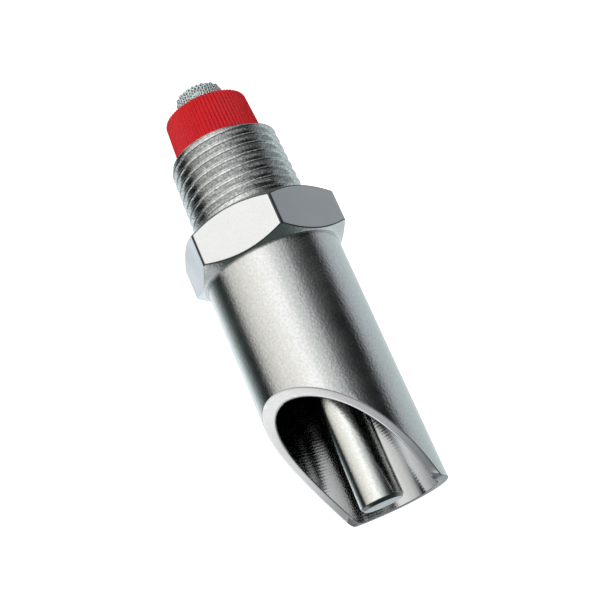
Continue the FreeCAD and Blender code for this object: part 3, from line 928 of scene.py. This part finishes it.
@dataclass
class GauzeThimble:
    """The thimble of woven steel gauze, pressed from a square sheet over a round former.

    The sheet keeps its wires' spacing as it is pressed, so its weave stays square on the
    top and is drawn out into steep diamonds at four places round the side.
    """

    wire_steel: SteelFinish = SteelFinish(
        "gauze_wire", (0.61, 0.69, 0.695), 0.55, 0.08, grain_width=0.1, grain_height=0.004,
        cloud_size=0.8)
    outer_radius: float = 4.48
    top: float = 27.95
    bottom: float = 18.65
    shoulder: float = 0.4
    wire_radius: float = 0.19
    crossing_share: float = 0.6
    pitch: float = 0.6
    locked_level: float = 23.4
    wire_sides: int = 6
    curve_steps: int = 3
    solver_steps: int = 20
    longest_step: float = 0.3

    @property
    def radius(self) -> float:
        """Radius of the weave's middle."""
        return self.outer_radius - (1 + self.crossing_share) * self.wire_radius

    @property
    def crown(self) -> float:
        """Level of the weave's middle on the top."""
        return self.top - (1 + self.crossing_share) * self.wire_radius

    def surface(self, points: Array) -> tuple[Array, Array]:
        """Measure how points lie to the former.

        Args:
            points: Points in rows.

        Returns:
            Each point's distance outside the weave's middle, and the direction outwards.
        """
        reach = np.hypot(points[:, 0], points[:, 1])
        past_wall = reach - (self.radius - self.shoulder)
        past_top = points[:, 2] - (self.crown - self.shoulder)
        rounded = np.hypot(np.maximum(past_wall, 0), np.maximum(past_top, 0))
        distance = rounded + np.minimum(np.maximum(past_wall, past_top), 0) - self.shoulder
        both = (past_wall > 0) & (past_top > 0)
        length = np.maximum(rounded, TINY)
        across = np.where(both, past_wall / length, np.where(past_wall > past_top, 1.0, 0.0))
        upward = np.where(both, past_top / length, np.where(past_wall > past_top, 0.0, 1.0))
        sideways = (across / np.maximum(reach, TINY))[:, None] * points[:, :2]
        return distance, np.column_stack([sideways, upward])

    def meridian(self, length: float) -> tuple[float, float]:
        """Follow the former from the middle of its top.

        Args:
            length: How far to go.

        Returns:
            The radius and level there.
        """
        flat = self.radius - self.shoulder
        bend = self.shoulder * math.pi / 2
        if length <= flat:
            return length, self.crown
        if length <= flat + bend:
            turn = (length - flat) / self.shoulder
            drop = self.shoulder * (1 - math.cos(turn))
            return flat + self.shoulder * math.sin(turn), self.crown - drop
        return self.radius, self.crown - self.shoulder - (length - flat - bend)

    def crossing(self, first: Array, second: Array, behind: Array) -> Array:
        """Find where two wires cross next, one pitch on from two known crossings.

        Args:
            first: The crossing before it on one wire.
            second: The crossing before it on the other.
            behind: The crossing that both of those come from.

        Returns:
            The new crossing.
        """
        point = first + second - behind
        for _ in range(self.solver_steps):
            distance, outward = self.surface(point[None, :])
            lead, trail = point - first, point - second
            square = self.pitch ** 2
            misses = np.array([lead @ lead - square, trail @ trail - square, distance[0]])
            slopes = np.stack([2 * lead, 2 * trail, outward[0]])
            step = np.linalg.lstsq(slopes, misses, rcond=None)[0]
            point = point - step * min(1.0, self.longest_step / max(np.linalg.norm(step), TINY))
        return point

    def crossings(self) -> Array:
        """Lay the sheet's crossings over a quarter of the former.

        Returns:
            The crossings by row and column, with the top's middle first.
        """
        depth = self.radius + self.crown - self.locked_level
        count = int(depth / self.pitch) + 1
        net = np.zeros((count, count, 3))
        for number in range(count):
            reach, level = self.meridian(number * self.pitch)
            net[number, 0] = (reach, 0, level)
            net[0, number] = (0, reach, level)
        for row in range(1, count):
            for column in range(1, count):
                first, second = net[row - 1, column], net[row, column - 1]
                if min(first[2], second[2]) < self.locked_level:
                    net[row, column] = (0, 0, self.bottom)
                else:
                    net[row, column] = self.crossing(first, second, net[row - 1, column - 1])
        return net

    def wire(self, quarter: Array, lane: int, crosswise: bool) -> Array:
        """Follow one wire over the top and down both sides.

        Args:
            quarter: The crossings of a quarter of the former.
            lane: Number of the wire, counted from the middle.
            crosswise: Whether it runs along Y instead of along X.

        Returns:
            The points of the wire's middle.
        """
        points = []
        for number in range(1 - len(quarter), len(quarter)):
            mirror = (math.copysign(1, number), math.copysign(1, lane), 1)
            place = quarter[abs(number), abs(lane)] * mirror
            if place[2] >= self.locked_level:
                side = 1 if (number + lane) % 2 else -1
                _, outward = self.surface(place[None, :])
                points.append(place + side * self.crossing_share * self.wire_radius * outward[0])
        ends = [points[end] * (1, 1, 0) + (0, 0, self.bottom) for end in (0, -1)]
        line = np.array([ends[0], *points, ends[1]])
        if crosswise:
            line = line[:, [1, 0, 2]]
        return self.smoothed(line)

    def smoothed(self, line: Array) -> Array:
        """Put extra points on a smooth curve through a line's points.

        Args:
            line: The points, with a straight run at each end.

        Returns:
            The points of the curve.
        """
        knots = line[1:-1]
        leads = np.gradient(knots, axis=0)
        leads[[0, -1]] /= 2
        share = (np.arange(self.curve_steps) / self.curve_steps)[:, None]
        curve = ((2 * share ** 3 - 3 * share ** 2 + 1) * knots[:-1, None]
                 + (share ** 3 - 2 * share ** 2 + share) * leads[:-1, None]
                 + (3 * share ** 2 - 2 * share ** 3) * knots[1:, None]
                 + (share ** 3 - share ** 2) * leads[1:, None])
        return np.concatenate([line[:1], curve.reshape(-1, 3), line[-2:]])

    def build(self) -> Piece:
        """Make the thimble's mesh and dress it.

        Returns:
            The piece.
        """
        quarter = self.crossings()
        skins, faces, count = [], [], 0
        for crosswise in (False, True):
            for lane in range(1 - len(quarter), len(quarter)):
                if quarter[0, abs(lane), 2] < self.locked_level:
                    continue
                line = self.wire(quarter, lane, crosswise)
                _, outward = self.surface(line)
                rings, quads = sweep_wire(line, outward, self.wire_radius, self.wire_sides)
                skins.append(rings.reshape(-1, 3))
                faces.append(quads + count)
                count += len(skins[-1])
        quads = np.concatenate(faces)
        piece = mesh_from_quads("gauze_thimble", np.concatenate(skins), quads,
                                np.zeros(len(quads)), [self.wire_steel.build()])
        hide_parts("filter_screen")
        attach(piece, "screen")
        return piece


@dataclass
class ValveSpring:
    """The closing spring, with a dead turn ground flat at each end."""

    wire_steel: SteelFinish = SteelFinish(
        "spring_wire", (0.60, 0.61, 0.61), 0.22, grain_width=0.1, grain_height=0.004)
    bottom: float = -1.0
    top: float = 8.0
    wire_radius: float = 0.35
    coil_radius: float = 3.5
    working_turns: float = 3.0
    dead_turns: float = 0.8
    dead_rise: float = 0.595
    start_turn: float = 0.85
    wire_sides: int = 12
    steps_per_turn: int = 40
    lift: float = 2.0

    def build(self) -> Piece:
        """Make the spring's mesh and dress it.

        Returns:
            The piece.
        """
        turns = self.working_turns + 2 * self.dead_turns
        turn = np.linspace(0, turns, int(turns * self.steps_per_turn))
        worked = np.clip(turn - self.dead_turns, 0, self.working_turns) / self.working_turns
        lower = np.minimum(turn / self.dead_turns, 1) * self.dead_rise
        upper = (1 - np.minimum((turns - turn) / self.dead_turns, 1)) * self.dead_rise
        span = self.top - self.bottom - 2 * self.dead_rise
        level = self.bottom + lower + worked * span + upper
        angle = (turn + self.start_turn) * FULL_TURN
        line = turned_places(self.coil_radius, level, angle)
        rings, quads = sweep_wire(line, line * (1, 1, 0), self.wire_radius, self.wire_sides)
        skin = rings.reshape(-1, 3)
        skin[:, 2] = np.clip(skin[:, 2], self.bottom, self.top)
        piece = mesh_from_quads("closing_spring", skin, quads, np.zeros(len(quads)),
                                [self.wire_steel.build()])
        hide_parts("valve_spring")
        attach(piece, "spring")
        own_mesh(piece)
        return piece


@dataclass
class SeatSeal:
    """The rubber ring that the valve disc closes on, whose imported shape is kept."""

    rubber: SealRubber = field(default_factory=SealRubber)

    def build(self) -> Piece:
        """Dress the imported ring.

        Returns:
            The piece.
        """
        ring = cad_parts["seat_seal"]
        material = self.rubber.build()
        for slot in ring.material_slots:
            slot.material = material
        return ring


@dataclass
class StudioFloor:
    """A plain pale floor well under the drinker."""

    level: float = -120.0
    half_width: float = 1500.0
    color: Color = (0.86, 0.86, 0.86)
    roughness: float = 0.9

    def build(self) -> Piece:
        """Make the floor.

        Returns:
            The floor.
        """
        sides = ((-1, -1), (1, -1), (1, 1), (-1, 1))
        corners = [(x * self.half_width, y * self.half_width, self.level) for x, y in sides]
        paint = ShaderDesk("pale_floor").dress(
            {"Base Color": (*self.color, 1), "Roughness": self.roughness})
        floor = mesh_from_quads("studio_floor", np.array(corners), np.array([[0, 1, 2, 3]]),
                                np.zeros(1), [paint])
        floor.visible_glossy = False
        return floor


@dataclass(frozen=True)
class DomeBand:
    """One belt of the studio's dome, whose colour changes with the bearing.

    Heights are sines of the elevation, and the belt below fades into this one from the
    first height to the second. Each stop is a bearing from the camera in degrees, then
    its red, green and blue, and the first stop closes the belt.
    """

    fade_from: float
    fade_to: float
    stops: tuple[tuple[float, float, float, float], ...]


DOME_BANDS = (
    DomeBand(-0.97, -0.82, (
        (-180, 0.40, 0.45, 0.46), (-150, 0.30, 0.34, 0.34), (-130, 0.052, 0.070, 0.067),
        (95, 0.052, 0.070, 0.067), (108, 0.14, 0.17, 0.17), (118, 0.26, 0.30, 0.30),
        (130, 0.38, 0.43, 0.44),
    )),
    DomeBand(-0.81, -0.70, (
        (-180, 0.60, 0.65, 0.68), (-142, 0.52, 0.56, 0.58), (-133, 0.24, 0.28, 0.28),
        (-125, 0.28, 0.31, 0.32), (-119, 0.90, 0.90, 0.91), (-115, 0.92, 0.92, 0.92),
        (-112, 0.78, 0.78, 0.79), (-109, 0.58, 0.58, 0.60), (-105, 0.43, 0.43, 0.45),
        (-100, 0.30, 0.30, 0.31), (-93, 0.18, 0.18, 0.19), (-80, 0.08, 0.09, 0.09),
        (98, 0.05, 0.06, 0.06), (115, 0.26, 0.30, 0.30), (127, 0.42, 0.48, 0.49),
        (142, 0.56, 0.62, 0.64),
    )),
    DomeBand(-0.66, -0.57, (
        (-180, 0.62, 0.67, 0.70), (-142, 0.66, 0.70, 0.72), (-133, 0.30, 0.34, 0.35),
        (-125, 0.42, 0.45, 0.46), (-119, 0.92, 0.92, 0.92), (-110, 0.92, 0.92, 0.92),
        (-107, 0.84, 0.85, 0.85), (-103, 0.62, 0.63, 0.64), (-99, 0.30, 0.32, 0.33),
        (-93, 0.17, 0.18, 0.18), (-80, 0.08, 0.09, 0.09), (98, 0.05, 0.06, 0.06),
        (125, 0.42, 0.48, 0.49), (142, 0.58, 0.65, 0.67),
    )),
    DomeBand(-0.48, -0.3, (
        (-180, 0.62, 0.68, 0.72), (-151, 0.78, 0.85, 0.89), (-137, 0.48, 0.54, 0.55),
        (-125, 0.20, 0.23, 0.23), (-114, 0.045, 0.06, 0.06), (-104, 0.012, 0.015, 0.015),
        (-95, 0.012, 0.015, 0.015), (-88, 0.17, 0.17, 0.17), (-81, 0.43, 0.43, 0.41),
        (-71, 0.62, 0.62, 0.59), (-50, 0.80, 0.79, 0.76), (-28, 0.94, 0.94, 0.91),
        (-15, 1.06, 1.06, 1.05), (-4, 0.98, 0.99, 0.99), (9, 0.64, 0.67, 0.66),
        (19, 0.54, 0.57, 0.57), (28, 0.30, 0.31, 0.32), (40, 0.10, 0.11, 0.11),
        (52, 0.028, 0.032, 0.032), (64, 0.010, 0.012, 0.012), (78, 0.010, 0.012, 0.012),
        (87, 0.14, 0.15, 0.16), (96, 0.34, 0.36, 0.39), (114, 0.42, 0.47, 0.49),
        (134, 0.45, 0.52, 0.53), (160, 0.52, 0.57, 0.60),
    )),
    DomeBand(0.5, 0.65, (
        (-180, 0.04, 0.05, 0.05), (-120, 0.15, 0.16, 0.16), (-60, 0.90, 0.90, 0.88),
        (0, 1.0, 1.0, 1.0), (60, 0.5, 0.5, 0.5), (120, 0.10, 0.11, 0.11),
    )),
)


@dataclass
class StudioDome:
    """Soft studio light all round: large white panels, dark gaps between them and a dim floor."""

    strength: float = 1.4
    floor_color: Color = (0.052, 0.070, 0.067)
    backdrop: Color = (1.0, 1.0, 1.0)

    def build(self, azimuth: float) -> None:
        """Paint the dome by direction.

        Args:
            azimuth: The camera's azimuth in degrees, from which the dome's bearings count.
        """
        world = bpy.data.worlds.new("studio")
        bpy.context.scene.world = world
        world.use_nodes = True
        desk = NodeDesk(world.node_tree)
        turned = desk.add("Mapping", "Vector", {
            "Vector": desk.add("TexCoord", "Generated"),
            "Rotation": (0, 0, math.radians(90 - azimuth)),
        })
        height = desk.add("SeparateXYZ", "Z", {"Vector": turned})
        level = height.node.outputs
        bearing = desk.add("Math", "Value", {0: level["Y"], 1: level["X"]}, operation="ARCTAN2")
        share = desk.spread(bearing, (-math.pi, math.pi))
        color = self.floor_color
        for band in DOME_BANDS:
            color = self.belt(desk, band, color, share, height)
        view = desk.mix(desk.add("LightPath", "Is Camera Ray"), color, self.backdrop)
        desk.feed(desk.tree.nodes["Background"], {"Color": view, "Strength": self.strength})

    @staticmethod
    def belt(desk: NodeDesk, band: DomeBand, below: Socket | Color, share: Socket,
             height: Socket) -> Socket:
        """Lay one belt over what is below it.

        Args:
            desk: Lays out the world's nodes.
            band: The belt.
            below: Colour of what is below it.
            share: The bearing, from 0 to 1.
            height: The sine of the elevation.

        Returns:
            The colour of both.
        """
        ramp = desk.add("ValToRGB", "Color", {"Fac": share})
        ramp.node.color_ramp.interpolation = "EASE"
        elements = ramp.node.color_ramp.elements
        closing = (180, *band.stops[0][1:])
        for number, (bearing, *color) in enumerate((*band.stops, closing)):
            position = (bearing + 180) / 360
            element = elements[number] if number < 2 else elements.new(position)
            element.position = position
            element.color = (*color, 1)
        fade = desk.spread(height, (band.fade_from, band.fade_to), shape="SMOOTHSTEP")
        return desk.mix(fade, below, ramp)


@dataclass
class PhotoCamera:
    """The camera that took the photograph. Angles are in degrees."""

    azimuth: float = 43.852
    elevation: float = -17.31
    roll: float = 23.794
    distance: float = 220.912
    look_at: float = -15.871
    lens: float = 75.752
    sensor_width: float = 36.0
    shift_x: float = 0.019337
    shift_y: float = 0.001829
    nearest: float = 5.0
    farthest: float = 10000.0

    def build(self) -> None:
        """Make the camera and use it."""
        place = Matrix.Translation((0, 0, self.look_at * MM))
        for angle, axis in ((self.azimuth, "Z"), (90 - self.elevation, "X"), (-self.roll, "Z")):
            place = place @ Matrix.Rotation(math.radians(angle), 4, axis)
        data = bpy.data.cameras.new("camera")
        data.lens = self.lens
        data.sensor_width = self.sensor_width
        data.shift_x = self.shift_x
        data.shift_y = self.shift_y
        data.clip_start = self.nearest * MM
        data.clip_end = self.farthest * MM
        camera = bpy.data.objects.new("camera", data)
        camera.matrix_world = place @ Matrix.Translation((0, 0, self.distance * MM))
        bpy.context.scene.collection.objects.link(camera)
        bpy.context.scene.camera = camera


def main() -> None:
    """Build the drinker piece by piece and report each one."""
    logging.basicConfig(level=logging.INFO, format="%(name)s: %(message)s")
    bpy.context.scene.view_settings.view_transform = "Standard"
    camera = PhotoCamera()
    camera.build()
    StudioDome().build(camera.azimuth)
    StudioFloor().build()
    for maker in (DrinkerBody, SeatSeal, BitePin, ValveSpring, RegulatorPlug, GauzeThimble):
        piece = maker().build()
        log.info("%s has %d faces", piece.name, len(piece.data.polygons))


if __name__ == "__main__":
    main()
